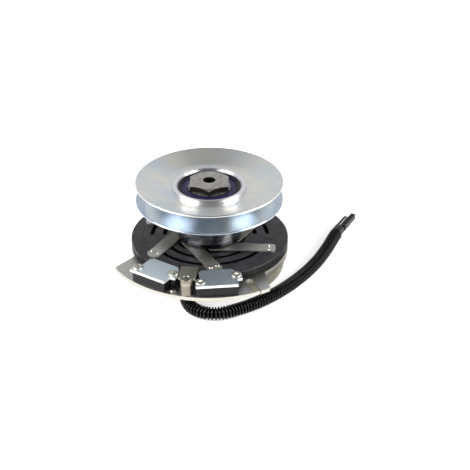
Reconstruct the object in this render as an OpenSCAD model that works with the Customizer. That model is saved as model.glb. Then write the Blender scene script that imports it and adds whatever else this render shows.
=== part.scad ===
// Stationary-field electromagnetic clutch with a permanent-magnet brake, for a mower's blade drive.
// The frame: +Z up the shaft, Z = 0 on the bottom face, the bore's axis on Z, the brake towards -Y.

/* [Pulley] */
// Outer diameter of the belt pulley
pulley_d = 135; // [112:1:164]
// Diameter at the root of the belt groove
groove_root_d = 86.8; // [80:0.2:105]
// Included angle of the belt groove
groove_angle = 36; // [30:1:38]
// Thickness of the two spun flanges
sheet_t = 2.4; // [1.6:0.1:3]
// Width of the rolled lip beyond the bearing seat, which clamps the flanges
lip_w = 2.3; // [1.9:0.1:3]
// Height of the groove's middle above the foot of the hub
hub_h = 45.3; // [42:0.1:56]
// Outer diameter of the hub's polished neck
neck_d = 55.2; // [50:0.2:62]
// Width of the hub's foot beyond the neck
foot_w = 1.7; // [1:0.1:4]
// Thickness of the hub's foot
foot_t = 1.7; // [1.4:0.1:3]

/* [Pulley bearing] */
// Bore of the pulley bearing, which is also the arbor's diameter
pulley_bearing_bore = 35; // [33:0.5:38]
// Outer diameter of the pulley bearing
pulley_bearing_od = 55; // [52:0.5:66]
// Width of the pulley bearing
pulley_bearing_w = 20; // [16:0.1:24]

/* [Arbor] */
// Bore for the crankshaft
crank_bore_d = 25.4; // [20:0.2:28.6]
// Depth of the crankshaft bore
crank_bore_len = 76.2; // [60:0.2:82]
// Width of the keyway
key_w = 6.35; // [4.76:0.01:8]
// Depth of the keyway into the bore's wall
key_depth = 2.9; // [2:0.1:3.2]
// Diameter of the hole for the crankshaft bolt
bolt_hole_d = 11.5; // [8:0.1:14]
// Height of the hexagonal nose
nose_h = 6.6; // [5:0.1:10]

/* [Rotor] */
// Overhang of the rotor's rim beyond its outer pole
rotor_overhang = 5.3; // [3:0.1:6]
// Thickness of the rotor's rim
rotor_rim_t = 2.3; // [1.8:0.1:3.5]
// Width of the slots between the rotor's poles
rotor_slot_w = 3.4; // [2:0.1:4]

/* [Field] */
// Outer diameter of the field shell, which sizes the rotor, armature and bracket too
shell_d = 138.6; // [130:0.1:168]
// Height of the field shell with its flange
shell_h = 19.3; // [17.5:0.1:24]
// Thickness of the field shell's outer wall
shell_wall = 3; // [2.4:0.1:3.6]
// Thickness of the field shell's floor
shell_floor = 4; // [3:0.1:5]
// Overhang of the shell's flange and of the ring above it
flange_w = 3.3; // [2:0.1:6]
// Thickness of the shell's flange
flange_t = 2.8; // [2:0.1:4]
// Outer diameter of the field bearing
field_bearing_od = 68; // [64:0.5:72]
// Bore of the field bearing
field_bearing_bore = 45; // [43:0.5:47]
// Width of the field bearing
field_bearing_w = 12; // [10:0.1:13.4]

/* [Armature] */
// Overhang of the armature beyond the rotor's rim
armature_overhang = 1.6; // [0.5:0.1:3]
// Thickness of the armature
armature_t = 5; // [4:0.1:7]
// Gap between the armature and the rotor with the clutch off
air_gap = 0.6; // [0.55:0.05:0.8]
// Gap between the armature and the brake plates with the clutch off
brake_gap = 0.4; // [0.3:0.05:0.5]
// Width of the armature's slots
armature_slot_w = 3.8; // [2:0.1:4.6]
// Width of a leaf spring
spring_w = 12.6; // [9:0.1:15.4]
// Thickness of a leaf spring
spring_t = 1.2; // [0.8:0.1:1.5]
// Rise of a leaf spring from the armature to the hub's foot
spring_rise = 0.8; // [0.6:0.1:2]

/* [Bracket] */
// Thickness of the bracket
bracket_t = 3.4; // [2.5:0.1:4.2]
// Width of the bracket beyond the brake magnets
bracket_margin = 2.5; // [1.5:0.1:6]
// Width of the anti-rotation slot
slot_w = 7.6; // [6:0.1:9.2]

/* [Brake] */
// Length of a brake magnet along the rim
magnet_l = 32; // [26:0.1:33]
// Depth of a brake magnet away from the rim
magnet_depth = 19; // [15.8:0.1:23]
// Thickness of a brake plate
plate_t = 2.5; // [2:0.1:4]
// Overlap of a brake plate on the armature's edge
plate_overlap = 5; // [3:0.1:6]
// Diameter of a brake screw's shank
screw_d = 4.5; // [3.7:0.1:5.4]
// Diameter of the stop post
post_d = 10.5; // [8.7:0.1:12.6]

/* [Loom] */
// Outer diameter of the split loom on the wires
loom_d = 12.5; // [10:0.1:12.5]

/* [Hidden] */
$fn = 96;

eps = 0.01;                 // overlap that keeps a cut from leaving a skin
over = 1;                   // how far a cutter runs past what it cuts
run_gap = 0.3;              // gap between curved faces that turn past each other
fit_gap = 0.05;             // gap of a piece that sits in its hole

// heights, from the bottom up
bracket_z = shell_h;
bracket_top = bracket_z + bracket_t;
rim_z = bracket_top + 0.7;
rotor_face_z = rim_z + rotor_rim_t;
armature_z = rotor_face_z + air_gap;
armature_top = armature_z + armature_t;
plate_z = armature_top + brake_gap;
plate_top = plate_z + plate_t;
spring_z = armature_top;
spring_top = spring_z + spring_t + spring_rise;
hub_z = spring_top;
groove_z = hub_z + hub_h;

// pulley
pulley_r = pulley_d / 2;
root_r = groove_root_d / 2;
half_angle = groove_angle / 2;
seat_r = pulley_bearing_od / 2 + 4.5;   // bearing housing's outside, which the flanges sit on
shoulder_h = 4;             // height of the shoulder under the lower flange
neck_r = neck_d / 2;
neck_h = 22;                // length of the polished neck above the foot
foot_r = neck_r + foot_w;
hub_bore_r = pulley_bearing_bore / 2 + 4;
lip_outer_r = seat_r + lip_w;
inside_r = root_r - sheet_t * tan(half_angle / 2);      // where a flange's inner faces meet
dish_bend = 0.436 * (inside_r - lip_outer_r);
dish_bend_r = dish_bend / tan(half_angle / 2);          // soft bend out of the flat middle
shoulder_r = (seat_r + inside_r - dish_bend) / 2;
lip_inner_r = pulley_bearing_od / 2 + 2;
lip_rise = 4;               // how far the lip stands above the flange

// pulley bearing
pulley_bearing_top = groove_z + 3.4;
pulley_bearing_z = pulley_bearing_top - pulley_bearing_w;
seal_t = 0.9;
seal_sink = 0.5;            // how far a seal sits below the races' faces
pulley_pitch_r = (pulley_bearing_bore + pulley_bearing_od) / 4;
race_gap = (pulley_bearing_od - pulley_bearing_bore) / 2;
row_room = pulley_bearing_w / 2 - seal_sink - seal_t - run_gap;
pulley_ball_r = min(0.33 * race_gap, row_room / 2 - 0.85);
pulley_race_t = race_gap / 2 - 0.85 * pulley_ball_r;    // thickness of either race
pulley_ball_rows = [-row_room / 2, row_room / 2];
pulley_ball_count = 16;

// arbor
arbor_r = pulley_bearing_bore / 2;
spacer_r = arbor_r + 2.2;
nose_z = pulley_bearing_top;
nose_top = nose_z + nose_h;
nose_corner_r = arbor_r / cos(30);
nose_face_r = arbor_r - 0.3;        // where the nose's chamfer meets its end
keyway_len = 50;

// rotor and its bearing
rotor_hub_r = field_bearing_bore / 2;
rotor_hub_z = 2;
field_bearing_z = shell_floor + 1;
field_bearing_top = field_bearing_z + field_bearing_w;
field_race_t = 2.9;
field_pitch_r = (field_bearing_od + field_bearing_bore) / 4;
field_ball_r = 3.3;
field_ball_count = 16;
web_t = 5.2;
web_z = rotor_face_z - web_t;
shell_r = shell_d / 2;
shell_in_r = shell_r - shell_wall;
flange_r = shell_r + flange_w;
pole_gap = 0.6;             // radial gap between a rotor pole and the shell
outer_pole_r = shell_in_r - pole_gap;
outer_pole_t = 4.5;
rotor_r = outer_pole_r + rotor_overhang;
rim_chamfer = 0.5;          // on the edges of the rotor's rim and of the armature
outer_pole_drop = 7;
core_r = field_bearing_od / 2 + 5;
inner_pole_r = core_r + pole_gap;
inner_pole_t = 3.6;
inner_pole_drop = 8.5;
rotor_slot_r = inner_pole_r + inner_pole_t + 4.5;
rotor_slot_count = 6;
friction_w = 4.4;
friction_r = outer_pole_r - outer_pole_t - friction_w - 1.2;
friction_t = 2;

// coil
coil_in_r = inner_pole_r + inner_pole_t + 0.8;
coil_out_r = outer_pole_r - outer_pole_t - 0.8;
coil_top = web_z - 2.5;
bobbin_t = 1.1;

// armature and its springs
armature_r = rotor_r + armature_overhang;
pole_step = 5.75;           // from the rotor's slots in and out to the armature's
slot_rings = [rotor_slot_r - pole_step, rotor_slot_r + pole_step];
slot_spans = [[214, 328], [2, 77], [103, 180]];
armature_bore_r = slot_rings[0] - 8;
plate_in_r = armature_r - plate_overlap;
rivet_r = 1.9;
rivet_head_r = 2.8;
rivet_head_t = 1.1;
tip_rivet_r = 1.4;          // a pair of small rivets holds each spring's tip
tip_head_r = 2.1;
tip_rivet_y = spring_w / 4;
hub_rivet_len = 6;          // depth of a hub rivet in the hub's wall
spring_count = 6;
spring_turn = -1;           // angle of the first spring
hub_wall_r = (hub_bore_r + neck_r) / 2;
spring_offset = hub_wall_r - 0.15;      // distance of a spring's centre line from the axis
spring_tip_r = plate_in_r - 1.2;        // furthest that a spring reaches from the axis
spring_corner_r = 4;        // rounded corners of a spring's ends
spring_start = sqrt(pow(hub_wall_r, 2) - pow(spring_offset, 2));
spring_back = spring_start - rivet_head_r - 0.5;
spring_tip = sqrt(pow(spring_tip_r, 2) - pow(spring_offset + spring_w / 2 - spring_corner_r, 2));
spring_rivet_at = spring_tip - 7;
spring_ramp = [armature_bore_r, spring_rivet_at - 8];   // where a spring starts and ends its rise

// bracket, brake and stop
magnet_in_r = armature_r + 1.9;
plate_out_r = magnet_in_r + magnet_depth + 0.5;
bracket_r = magnet_in_r + magnet_depth + bracket_margin;
ring_in_r = outer_pole_r + 0.8;
slot_heading = -69.5;
slot_centre = (flange_r + 4.7) * heading(-61.9);
brake_middle = 256.2;       // heading midway between the two brake magnets
brake_half = asin(27.15 / (magnet_in_r + 4.5));
brake_angles = [brake_middle - brake_half, brake_middle + brake_half];
plate_l = magnet_l + 0.8;
ear_r = screw_d / 2 + 3.6;
screw_spots = [[magnet_in_r + 4.5, magnet_l / 2], [plate_out_r - 6, -magnet_l / 2 - 0.5]];
screw_head_r = screw_d / 2 + 2.45;
bolt_shank_d = 5;
post_at_r = bracket_r - 5.6;
post_spot = post_at_r * heading(-102.3);
post_seat_z = plate_top - 1;
tab_t = 2.2;
tab_w = post_d + 4.5;
tab_len = post_at_r - plate_in_r + 1.8;     // the tab reaches a little further in than the plates
tab_heading = 84.7;
rivet_from_screw = [7.7, 5];        // from the left brake's nearer screw, outwards and across
small_rivet_spot = (screw_spots[0][0] + rivet_from_screw[0]) * heading(brake_angles[0])
    + (screw_spots[0][1] + rivet_from_screw[1]) * heading(brake_angles[0] + 90);

// loom: its centre line, by hand, from the grommet round the front and back along the floor,
// as steps from the grommet and a share of the grommet's height above the floor
loom_r = loom_d / 2;
loom_sides = 10;
grommet_x = -20;
grommet_z = shell_floor + 4.2;
grommet_face_y = 0.3 - shell_r;
wire_hole_r = 3.6;
neck_y = 8.3 - shell_r;     // inner end of the grommet's neck, where the coil's leads go in
loom_steps = [
    [0, 0, 1], [0.1, -4, 0.84], [0.9, -8, 0.47], [3.4, -14.1, 0.12], [7.4, -19.4, 0],
    [12.7, -23.4, 0], [18.8, -25.9, 0], [25.4, -26.8, 0], [31.6, -26, 0], [37.8, -23.8, 0],
    [44, -20.6, 0], [50, -17.3, 0], [56, -13.6, 0], [62, -9.4, 0], [68, -4.7, 0], [75, 1.5, 0],
    [82, 8.4, 0], [89, 16.1, 0], [96, 24.6, 0], [102.5, 33.4, 0], [108.6, 42.4, 0],
    [114.2, 51.6, 0], [119.2, 60.9, 0], [123.8, 70.3, 0], [128, 80, 0], [131.8, 89.5, 0],
    [135.2, 98.8, 0], [138.2, 107, 0], [141, 114, 0]
];
loom_floor_z = loom_r + 0.05;
loom_route = [for (s = loom_steps)
    [grommet_x + s[0], grommet_face_y + s[1], loom_floor_z + s[2] * (grommet_z - loom_floor_z)]];

// connector on the end of the wires
plug_spot = [loom_route[len(loom_route) - 1][0], loom_route[len(loom_route) - 1][1]];
plug_heading = 63.4;
plug_w = 8.6;
plug_h = 5.6;
plug_z = loom_floor_z - plug_h / 2;     // the stiff loom holds the connector off the floor
plug_left = 0.8;            // how far the connector sits to the left of the loom's middle
plug_block_l = 13;
left_tower = [19.5, 3.6];   // length and width
right_tower = [27, 4.4];
tower_drop = 0.4;           // how far the left tower's top lies below the block's
plug_wall = 0.8;
blade_w = 3;
blade_t = 0.8;

function arc(centre, r, from, to, n = 8) =
    [for (i = [0 : n]) centre + r * [cos(from + (to - from) * i / n), sin(from + (to - from) * i / n)]];
function unit(v) = v / norm(v);
function heading(a) = [cos(a), sin(a)];

module ring(outer, inner, z, h) {
    translate([0, 0, z])
        difference() {
            cylinder(r = outer, h = h);
            translate([0, 0, -over]) cylinder(r = inner, h = h + 2 * over);
        }
}

// a stamped slot bent round the axis, with square ends, cut from z upwards
module arc_slot(r, w, from, to, z, h) {
    reach = 2 * r;
    middle = (from + to) / 2;
    translate([0, 0, z])
        linear_extrude(h)
            intersection() {
                difference() {
                    circle(r = r + w / 2);
                    circle(r = r - w / 2);
                }
                polygon([[0, 0], reach * heading(from), reach * heading(middle), reach * heading(to)]);
            }
}

// races and balls, shared by both bearings
module race(outer, inner, z, w, pitch_r, ball_r, rows) {
    difference() {
        ring(outer, inner, z, w);
        for (row = rows)
            translate([0, 0, z + w / 2 + row])
                rotate_extrude() translate([pitch_r, 0]) circle(r = ball_r + run_gap);
    }
}

module balls(count, z, w, pitch_r, ball_r, rows) {
    for (row = rows, i = [0 : count - 1])
        rotate([0, 0, i * 360 / count])
            translate([pitch_r, 0, z + w / 2 + row]) sphere(r = ball_r);
}

// ---- the field, which stays still ----

module field_shell() {
    corner_r = 5;
    shoulder_in_r = field_bearing_od / 2 - 3;
    color("#b3ae9e")
        difference() {
            rotate_extrude()
                polygon(concat(
                    [[shoulder_in_r, 0]],
                    arc([shell_r - corner_r, corner_r], corner_r, -90, 0),
                    [[shell_r, shell_h - flange_t], [flange_r, shell_h - flange_t],
                     [flange_r, shell_h], [shell_in_r, shell_h], [shell_in_r, shell_floor],
                     [core_r, shell_floor], [core_r, web_z - run_gap * 4],
                     [field_bearing_od / 2, web_z - run_gap * 4],
                     [field_bearing_od / 2, field_bearing_z], [shoulder_in_r, field_bearing_z]]));
            translate([grommet_x, -shell_in_r + 12, grommet_z])
                rotate([90, 0, 0]) cylinder(r = wire_hole_r, h = 20);
        }
}

module slot_outline(w) {
    translate(slot_centre)
        rotate(slot_heading) {
            circle(d = w);
            translate([0, -w / 2]) square([40, w]);
        }
}

// rounds one corner: at is the corner, from and to are the headings of its two edges
module corner_cut(at, from, to, r) {
    turn = (to - from) / 2;
    centre = at + r / sin(abs(turn)) * heading(from + turn);
    reach = r / tan(abs(turn));
    difference() {
        polygon([at - 2 * heading(from + turn), at + reach * heading(from) - 2 * heading(from + turn),
                 at + reach * heading(from), centre, at + reach * heading(to),
                 at + reach * heading(to) - 2 * heading(from + turn)]);
        translate(centre) circle(r = r);
    }
}

module bracket_outline() {
    left_corner = bracket_r * heading(207.3);
    right_corner = bracket_r * heading(304.7);
    left_edge = 49.5;           // headings of the side edges, from their corners inwards
    right_edge = 100;
    inwards = 42;
    outwards = 20;
    difference() {
        union() {
            circle(r = flange_r);
            intersection() {
                circle(r = bracket_r);
                polygon([[0, 0], left_corner + inwards * heading(left_edge),
                         left_corner - outwards * heading(left_edge), 1.7 * bracket_r * heading(233),
                         right_corner - outwards * heading(right_edge),
                         right_corner + inwards * heading(right_edge)]);
            }
        }
        circle(r = ring_in_r);
        slot_outline(slot_w);
        corner_cut(left_corner, left_edge, -62.7, 3.5);
        corner_cut(right_corner, right_edge, 214, 3);
    }
}

module field_bracket() {
    color("#c4bfae")
        difference() {
            translate([0, 0, bracket_z]) linear_extrude(bracket_t) bracket_outline();
            for (a = brake_angles, s = screw_spots)
                rotate([0, 0, a]) translate([s[0], s[1], bracket_z - over])
                    cylinder(d = screw_d + 2 * fit_gap, h = bracket_t + 2 * over);
            for (spot = [post_spot, small_rivet_spot])
                translate([spot[0], spot[1], bracket_z - over])
                    cylinder(d = bolt_shank_d + 2 * fit_gap, h = bracket_t + 2 * over);
        }
}
module coil_bobbin() {
    color("#2a2a2c")
        rotate_extrude()
            polygon([[coil_in_r, shell_floor], [coil_out_r, shell_floor],
                     [coil_out_r, shell_floor + bobbin_t],
                     [coil_in_r + bobbin_t, shell_floor + bobbin_t],
                     [coil_in_r + bobbin_t, coil_top - 2 * bobbin_t],
                     [coil_out_r, coil_top - 2 * bobbin_t], [coil_out_r, coil_top - bobbin_t],
                     [coil_in_r, coil_top - bobbin_t]]);
}

module coil_winding() {
    winding_h = coil_top - 3 * bobbin_t - shell_floor;
    color("#b87333")
        ring(coil_out_r - bobbin_t, coil_in_r + bobbin_t, shell_floor + bobbin_t, winding_h);
}

module coil_potting() {
    color("#3b3a36")
        ring(coil_out_r, coil_in_r, coil_top - bobbin_t, bobbin_t);
}

module coil_leads() {
    color("#8a1f1f")
        difference() {
            for (side = [-1, 1])
                translate([grommet_x + side * 1.6, neck_y + 21, grommet_z])
                    rotate([90, 0, 0]) cylinder(r = 1.2, h = 21);
            cylinder(r = coil_out_r - bobbin_t + fit_gap, h = coil_top);
        }
}

module field_bearing_outer() {
    color("#8f9296")
        race(field_bearing_od / 2, field_bearing_od / 2 - field_race_t, field_bearing_z, field_bearing_w,
             field_pitch_r, field_ball_r, [0]);
}
module field_bearing_inner() {
    color("#8f9296")
        race(field_bearing_bore / 2 + field_race_t, field_bearing_bore / 2, field_bearing_z, field_bearing_w,
             field_pitch_r, field_ball_r, [0]);
}

module field_bearing_balls() {
    color("#d9dcdf")
        balls(field_ball_count, field_bearing_z, field_bearing_w, field_pitch_r, field_ball_r, [0]);
}

module field_bearing_seals() {
    outer = field_bearing_od / 2 - field_race_t;
    inner = field_bearing_bore / 2 + field_race_t + run_gap;
    color("#1d1d20")
        for (z = [field_bearing_z + seal_sink, field_bearing_top - seal_sink - seal_t])
            ring(outer, inner, z, seal_t);
}

module wire_grommet() {
    collar_r = loom_r + 0.3;
    collar_y = 9.3 - shell_r;
    color("#19191b") {
        difference() {
            translate([grommet_x, collar_y, grommet_z])
                rotate([90, 0, 0]) cylinder(r = collar_r, h = collar_y - grommet_face_y);
            cylinder(r = shell_r + fit_gap, h = 3 * grommet_z);
        }
        translate([grommet_x, neck_y, grommet_z])
            rotate([90, 0, 0]) cylinder(r = wire_hole_r - fit_gap, h = neck_y - grommet_face_y - over);
    }
}

// the loom is swept ring by ring along its centre line
function route_heading(i) =
    i == 0 ? [0, -1, 0]
    : i == len(loom_route) - 1 ? [cos(plug_heading), sin(plug_heading), 0]
    : unit(loom_route[i + 1] - loom_route[i - 1]);

function loom_ring(i) =
    let (ahead = route_heading(i), side = unit(cross(ahead, [0, 0, 1])), up = cross(side, ahead))
    [for (k = [0 : loom_sides - 1])
        let (a = 360 * k / loom_sides - 90) loom_route[i] + loom_r * (cos(a) * side + sin(a) * up)];

module loom() {
    rings = len(loom_route);
    color("#18181a")
        polyhedron(
            points = [for (i = [0 : rings - 1]) each loom_ring(i)],
            faces = concat(
                [[for (k = [0 : loom_sides - 1]) k]],
                [for (i = [0 : rings - 2], k = [0 : loom_sides - 1])
                    let (a = i * loom_sides, n = (k + 1) % loom_sides)
                    [a + k, a + k + loom_sides, a + n + loom_sides, a + n]],
                [[for (k = [loom_sides - 1 : -1 : 0]) (rings - 1) * loom_sides + k]]));
}

module connector_frame() {
    translate([plug_spot[0], plug_spot[1], plug_z])
        rotate([0, 0, plug_heading])
            translate([0, plug_left, 0]) children();
}

module connector_housing() {
    cavity_x = plug_block_l + 3;
    inside = 2 * plug_wall;
    recess_w = 2.4;
    recess_h = 4;
    left_h = plug_h - tower_drop;
    color("#1b1b1d")
        connector_frame()
            difference() {
                union() {
                    translate([0, -plug_w / 2, 0]) cube([plug_block_l, plug_w, plug_h]);
                    translate([plug_block_l - eps, plug_w / 2 - left_tower[1], 0])
                        cube([left_tower[0], left_tower[1], left_h]);
                    translate([plug_block_l - eps, -plug_w / 2, 0])
                        cube([right_tower[0], right_tower[1], plug_h]);
                }
                translate([cavity_x, plug_w / 2 - left_tower[1] + plug_wall, plug_wall])
                    cube([left_tower[0], left_tower[1] - inside, left_h - inside]);
                translate([cavity_x, plug_wall - plug_w / 2, plug_wall])
                    cube([right_tower[0], right_tower[1] - inside, plug_h - inside]);
                translate([plug_block_l - 2.5, -plug_w / 2 - over, plug_h - recess_h])
                    cube([3.6, recess_w + over, recess_h + over]);
            }
}

module connector_terminals() {
    root_x = plug_block_l + 3;
    color("#c9a24b")
        connector_frame()
            for (tower = [[plug_w / 2 - left_tower[1] / 2, left_tower[0]],
                          [-plug_w / 2 + right_tower[1] / 2, right_tower[0]]])
                translate([root_x, tower[0] - blade_t / 2, (plug_h - blade_w) / 2])
                    cube([tower[1] - 7, blade_t, blade_w]);
}

// ---- brake: magnets on the bracket, plates over the armature's edge ----

module at_brake(side) {
    rotate([0, 0, brake_angles[side]]) children();
}

module magnet(side) {
    color("#26252a")
        at_brake(side)
            difference() {
                translate([0, 0, bracket_top])
                    linear_extrude(plate_z - bracket_top) {
                        translate([magnet_in_r, -magnet_l / 2]) square([magnet_depth, magnet_l]);
                        for (s = screw_spots) translate(s) circle(r = ear_r - 0.9);
                    }
                for (s = screw_spots)
                    translate([s[0], s[1], bracket_top - over])
                        cylinder(d = screw_d + 0.6, h = plate_z - bracket_top + 2 * over);
            }
}

module brake_magnet_left() magnet(0);
module brake_magnet_right() magnet(1);

module brake_plate(side) {
    edge = plate_l / 2;
    near_ear = screw_spots[0][0];
    far_ear = screw_spots[1][0];
    ear_reach = 4.6;
    color("#a9b4b8")
        at_brake(side)
            difference() {
                translate([0, 0, plate_z])
                    linear_extrude(plate_t)
                        polygon([[plate_in_r, 2.5 - edge], [plate_in_r + 2.5, -edge],
                                 [far_ear - ear_r, -edge], [far_ear - ear_r + 1.2, -edge - ear_reach],
                                 [plate_out_r, -edge - ear_reach], [plate_out_r, edge],
                                 [near_ear + ear_r, edge], [near_ear + ear_r - 1, edge + ear_reach],
                                 [near_ear - 0.5, edge + ear_reach],
                                 [near_ear - ear_r - 1, edge + 0.6], [plate_in_r, edge - 4]]);
                for (s = screw_spots)
                    translate([s[0], s[1], plate_z - over])
                        cylinder(d = screw_d + 0.4, h = plate_t + 2 * over);
            }
}

module brake_plate_left() brake_plate(0);
module brake_plate_right() brake_plate(1);

module brake_screws() {
    shank_z = bracket_z - 1.2;
    color("#9ea19b")
        for (side = [0, 1], s = screw_spots)
            at_brake(side)
                translate([s[0], s[1], 0])
                    difference() {
                        union() {
                            translate([0, 0, shank_z]) cylinder(d = screw_d, h = plate_top - shank_z + eps);
                            translate([0, 0, plate_top])
                                rotate_extrude()
                                    polygon(concat([[0, 0], [screw_head_r, 0]],
                                        arc([screw_head_r - 1.3, 0.7], 1.3, 0, 80, 4), [[0, 2.1]]));
                        }
                        translate([0, 0, plate_top + 0.9]) cylinder(d = 4, h = 2, $fn = 6);
                    }
}

module at_post() {
    translate([post_spot[0], post_spot[1], 0]) children();
}

module stop_post() {
    color("#a8a391")
        at_post()
            difference() {
                translate([0, 0, bracket_top]) cylinder(d = post_d, h = post_seat_z - bracket_top);
                translate([0, 0, bracket_top - over])
                    cylinder(d = bolt_shank_d + 0.4, h = post_seat_z - bracket_top + 2 * over);
            }
}

module stop_tab() {
    color("#a09b8a")
        at_post()
            difference() {
                translate([0, 0, post_seat_z])
                    linear_extrude(tab_t)
                        rotate(tab_heading) {
                            circle(d = post_d + 0.4);
                            translate([0, -post_d / 2 - 0.2]) square([post_d / 2, post_d + 0.4]);
                            translate([post_d / 2 - eps, -tab_w / 2])
                                square([tab_len - post_d / 2, tab_w]);
                        }
                translate([0, 0, post_seat_z - over])
                    cylinder(d = bolt_shank_d + 0.4, h = tab_t + 2 * over);
            }
}

module post_bolt() {
    head_z = post_seat_z + tab_t;
    shank_z = bracket_z - 1.6;
    head_h = 3.6;
    color("#aaa593")
        at_post() {
            translate([0, 0, shank_z]) cylinder(d = bolt_shank_d, h = head_z - shank_z + eps);
            translate([0, 0, head_z])
                rotate_extrude()
                    polygon(concat([[0, 0]], [[post_d / 2 + 0.25, 0]],
                        arc([post_d / 2 - 0.95, head_h - 1.2], 1.2, 0, 90, 5),
                        [[post_d / 2 - 2, head_h], [post_d / 2 - 2.6, head_h - 0.7], [0, head_h - 0.7]]));
        }
}

module bracket_rivet() {
    color("#c9c9c4")
        translate([small_rivet_spot[0], small_rivet_spot[1], 0]) {
            translate([0, 0, bracket_z - 2]) cylinder(d = bolt_shank_d - 0.6, h = 2);
            translate([0, 0, bracket_z - eps]) cylinder(d = bolt_shank_d, h = bracket_t + 2 * eps);
            translate([0, 0, bracket_top])
                rotate_extrude() polygon(concat([[0, 0], [3.2, 0], [3.2, 0.4]],
                    arc([2.2, 0.4], 1, 0, 90, 4), [[0, 1.4]]));
        }
}

// ---- the driving half, which turns with the crankshaft ----

module arbor() {
    keyway_top = crank_bore_d / 2 + key_depth;
    chamfer_h = (nose_corner_r + over - nose_face_r) * tan(30);
    color("#8b8a86")
        difference() {
            union() {
                cylinder(r = arbor_r, h = nose_z + eps);
                intersection() {
                    translate([0, 0, nose_z])
                        rotate([0, 0, 30]) cylinder(r = nose_corner_r, h = nose_h, $fn = 6);
                    rotate_extrude()
                        polygon([[0, nose_z - over], [nose_corner_r + over, nose_z - over],
                                 [nose_corner_r + over, nose_top - chamfer_h],
                                 [nose_face_r, nose_top], [0, nose_top]]);
                }
            }
            translate([0, 0, -over]) cylinder(d = crank_bore_d, h = crank_bore_len + over);
            translate([0, 0, crank_bore_len - over]) cylinder(d = bolt_hole_d, h = nose_top);
            translate([-key_w / 2, 0, -over]) cube([key_w, keyway_top, keyway_len + over]);
        }
}

module rotor() {
    snap_z = field_bearing_z - 1.4;
    color("#2b2a2e")
        difference() {
            rotate_extrude()
                polygon([[arbor_r, rotor_hub_z], [rotor_hub_r, rotor_hub_z], [rotor_hub_r, snap_z],
                         [rotor_hub_r - 0.9, snap_z], [rotor_hub_r - 0.9, field_bearing_z],
                         [rotor_hub_r, field_bearing_z], [rotor_hub_r, field_bearing_top],
                         [rotor_hub_r + 2.5, field_bearing_top], [rotor_hub_r + 2.5, web_z],
                         [inner_pole_r, web_z], [inner_pole_r, web_z - inner_pole_drop],
                         [inner_pole_r + inner_pole_t, web_z - inner_pole_drop],
                         [inner_pole_r + inner_pole_t, web_z],
                         [outer_pole_r - outer_pole_t, web_z],
                         [outer_pole_r - outer_pole_t, web_z - outer_pole_drop],
                         [outer_pole_r, web_z - outer_pole_drop], [outer_pole_r, rim_z],
                         [rotor_r - rim_chamfer, rim_z], [rotor_r, rim_z + rim_chamfer],
                         [rotor_r, rotor_face_z - rim_chamfer], [rotor_r - rim_chamfer, rotor_face_z],
                         [arbor_r, rotor_face_z]]);
            ring(friction_r + friction_w, friction_r, rotor_face_z - friction_t, friction_t + over);
            for (i = [0 : rotor_slot_count - 1])
                arc_slot(rotor_slot_r, rotor_slot_w, i * 60 + 8, i * 60 + 52,
                         web_z - over, web_t + 2 * over);
        }
}

module friction_ring() {
    color("#5a4632")
        ring(friction_r + friction_w, friction_r, rotor_face_z - friction_t, friction_t - fit_gap);
}

module rotor_snap_ring() {
    color("#6f6f72")
        difference() {
            ring(rotor_hub_r + 2.4, rotor_hub_r - 0.9 + fit_gap, field_bearing_z - 1.35, 1.3);
            translate([0, -2, 0]) cube([rotor_hub_r + 5, 4, field_bearing_z]);
        }
}

module bearing_spacer() {
    color("#8a8c8f")
        ring(spacer_r, arbor_r, rotor_face_z, pulley_bearing_z - rotor_face_z);
}

module pulley_bearing_inner() {
    color("#85878b")
        race(arbor_r + pulley_race_t, arbor_r, pulley_bearing_z, pulley_bearing_w,
             pulley_pitch_r, pulley_ball_r, pulley_ball_rows);
}

// ---- the driven half: pulley, hub and bearing ----

module pulley_hub() {
    bearing_r = pulley_bearing_od / 2;
    flat_z = groove_z - sheet_t;
    flat_top = groove_z + sheet_t;
    lip_r = (lip_outer_r - lip_inner_r) / 2;
    lip_centre = [lip_outer_r - lip_r, flat_top + lip_rise - lip_r];
    color("#c9ccd0")
        difference() {
            rotate_extrude()
                polygon(concat(
                    [[hub_bore_r, hub_z], [foot_r, hub_z], [foot_r, hub_z + foot_t],
                     [neck_r, hub_z + foot_t], [neck_r, hub_z + neck_h],
                     [seat_r, hub_z + neck_h + 6], [seat_r, flat_z - shoulder_h],
                     [shoulder_r, flat_z - shoulder_h + 1.5], [shoulder_r, flat_z], [seat_r, flat_z],
                     [seat_r, flat_top], [lip_outer_r, flat_top]],
                    arc(lip_centre, lip_r, 0, 180, 12),
                    [[bearing_r + 0.3, pulley_bearing_top + 0.7],
                     [bearing_r - 0.5, pulley_bearing_top], [bearing_r, pulley_bearing_top],
                     [bearing_r, pulley_bearing_z],
                     [bearing_r - 3, pulley_bearing_z], [bearing_r - 3, pulley_bearing_z - 3],
                     [hub_bore_r, pulley_bearing_z - 5]]));
            for (i = [0 : spring_count - 1])
                at_spring(i)
                    translate([spring_start, 0, hub_z - over])
                        cylinder(r = rivet_r + fit_gap, h = over + hub_rivet_len);
        }
}

// one spun flange as an outline: flat round the hub, a soft bend, a cone, a rounded rim
module flange_outline() {
    rim = pulley_r - sheet_t / 2;
    run = (rim - root_r + sheet_t / 2 * sin(half_angle)) / cos(half_angle);
    rim_centre = [root_r, 0] + run * heading(half_angle) + sheet_t / 2 * heading(half_angle + 90);
    polygon(concat(
        [[seat_r, 0], [root_r, 0]],
        arc(rim_centre, sheet_t / 2, half_angle - 90, half_angle + 90, 8),
        arc([inside_r - dish_bend, sheet_t + dish_bend_r], dish_bend_r, half_angle - 90, -90, 6),
        [[seat_r, sheet_t]]));
}

module upper_flange() {
    color("#b9bfc2")
        translate([0, 0, groove_z]) rotate_extrude() flange_outline();
}

module lower_flange() {
    color("#aab4bd")
        translate([0, 0, groove_z]) mirror([0, 0, 1]) rotate_extrude() flange_outline();
}

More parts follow.
